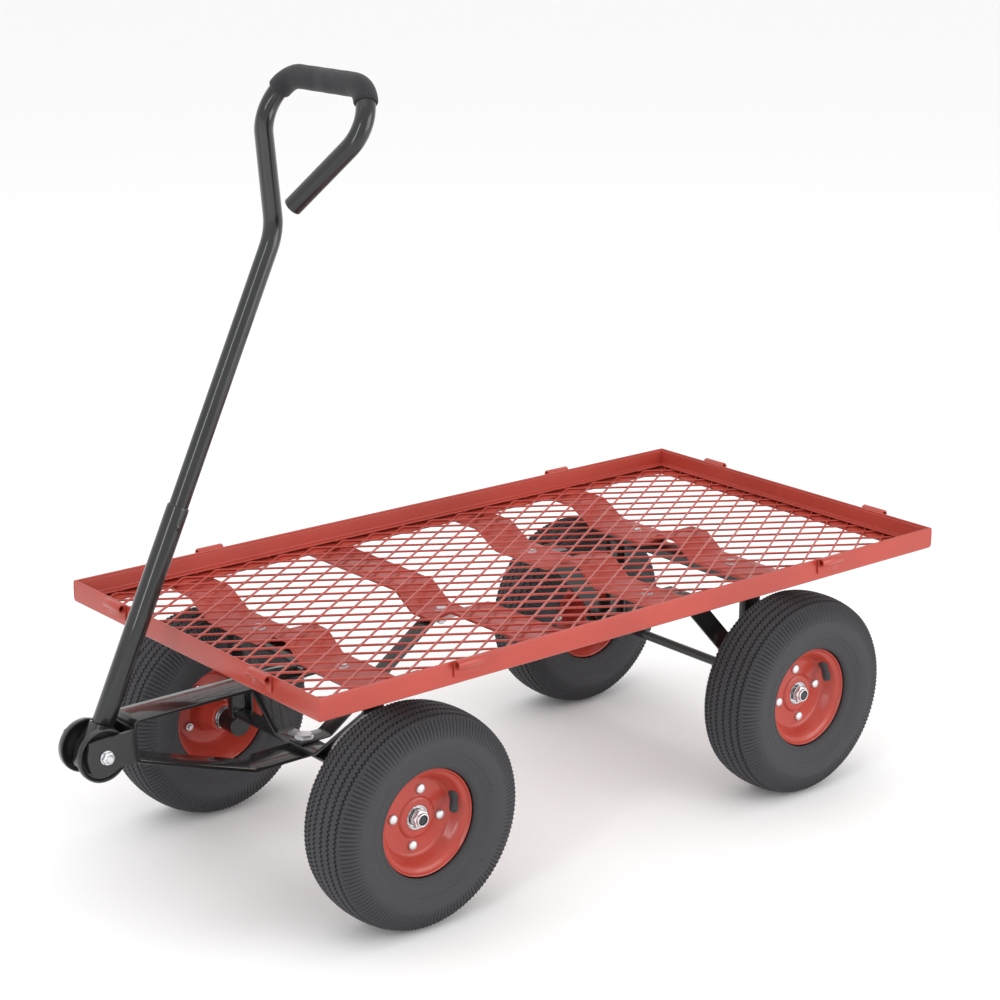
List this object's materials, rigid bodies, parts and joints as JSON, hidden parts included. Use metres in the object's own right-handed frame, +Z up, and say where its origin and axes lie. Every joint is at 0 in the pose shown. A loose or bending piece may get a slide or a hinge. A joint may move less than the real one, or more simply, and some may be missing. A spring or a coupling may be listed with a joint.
{
  "type": "garden cart",
  "caption": "Flat steel mesh-deck garden cart with pneumatic wheels, a steered front axle and a pivoting pull handle with a foam grip.",
  "frame": {"origin": "on the ground, under the middle of the cart's overall length and width", "axes": "+Z up, -Y towards the pull handle, +X to the left of the person pulling"},
  "size_m": [0.5306, 1.1382, 0.9371],
  "materials": {
    "red_paint": "semi-gloss powder coat",
    "black_paint": "satin powder coat",
    "zinc_plate": "bright zinc plate",
    "tyre_rubber": "matte rubber",
    "foam_grip": "ribbed foam"
  },
  "bodies": {
    "chassis": {"rail_left": "red_paint", "rail_right": "red_paint", "rail_front": "red_paint", "rail_rear": "red_paint", "mesh_clamp_frame": "red_paint", "deck_mesh": "red_paint", "cross_strap_1": "red_paint", "cross_strap_2": "red_paint", "cross_strap_3": "red_paint", "cross_strap_4": "red_paint", "strap_bolt_1_left": "zinc_plate", "strap_bolt_1_right": "zinc_plate", "strap_bolt_2_centre": "zinc_plate", "strap_bolt_3_left": "zinc_plate", "strap_bolt_3_right": "zinc_plate", "strap_bolt_4_left": "zinc_plate", "strap_bolt_4_right": "zinc_plate", "panel_loop_left_front": "red_paint", "panel_loop_left_rear": "red_paint", "panel_loop_right_front": "red_paint", "panel_loop_right_rear": "red_paint", "panel_loop_front_left": "red_paint", "panel_loop_front_right": "red_paint", "panel_loop_rear_left": "red_paint", "panel_loop_rear_right": "red_paint", "front_bolster": "black_paint", "centre_brace": "black_paint", "rear_cross_bar": "black_paint", "rear_post_left": "black_paint", "rear_post_right": "black_paint", "rear_brace_left": "black_paint", "rear_brace_right": "black_paint", "rear_axle": "black_paint", "kingpin_bolt": "zinc_plate", "upper_pivot_bolt": "zinc_plate", "rear_axle_nut_left": "zinc_plate", "rear_axle_nut_right": "zinc_plate"},
    "steering": {"front_axle_beam": "black_paint", "axle_bracket_left": "black_paint", "axle_bracket_right": "black_paint", "stub_axle_left": "black_paint", "stub_axle_right": "black_paint", "drawbar": "black_paint", "clevis_bracket": "black_paint", "front_axle_nut_left": "zinc_plate", "front_axle_nut_right": "zinc_plate"},
    "handle": {"handle_yoke": "black_paint", "handle_sleeve": "black_paint", "handle_tube": "black_paint", "pivot_bolt": "zinc_plate", "handle_grip": "foam_grip"},
    "front_left_wheel": {"front_left_wheel_tyre": "tyre_rubber", "front_left_wheel_rim": "red_paint"},
    "front_right_wheel": {"front_right_wheel_tyre": "tyre_rubber", "front_right_wheel_rim": "red_paint"},
    "rear_left_wheel": {"rear_left_wheel_tyre": "tyre_rubber", "rear_left_wheel_rim": "red_paint"},
    "rear_right_wheel": {"rear_right_wheel_tyre": "tyre_rubber", "rear_right_wheel_rim": "red_paint"}
  },
  "joints": [
    {"name": "steering_pivot", "type": "hinge", "parent": "chassis", "child": "steering", "pos_m": [0, -0.25665, 0.15], "axis": [0, 0, 1], "range_deg": [-30, 30]},
    {"name": "handle_pivot", "type": "hinge", "parent": "steering", "child": "handle", "pos_m": [0, -0.53815, 0.2145], "axis": [1, 0, 0], "range_deg": [-10, 115]},
    {"name": "front_left_wheel_spin", "type": "hinge", "parent": "steering", "child": "front_left_wheel", "pos_m": [0.2085, -0.25665, 0.13], "axis": [1, 0, 0], "continuous": true},
    {"name": "front_right_wheel_spin", "type": "hinge", "parent": "steering", "child": "front_right_wheel", "pos_m": [-0.2085, -0.25665, 0.13], "axis": [1, 0, 0], "continuous": true},
    {"name": "rear_left_wheel_spin", "type": "hinge", "parent": "chassis", "child": "rear_left_wheel", "pos_m": [0.2085, 0.35585, 0.13], "axis": [1, 0, 0], "continuous": true},
    {"name": "rear_right_wheel_spin", "type": "hinge", "parent": "chassis", "child": "rear_right_wheel", "pos_m": [-0.2085, 0.35585, 0.13], "axis": [1, 0, 0], "continuous": true}
  ]
}
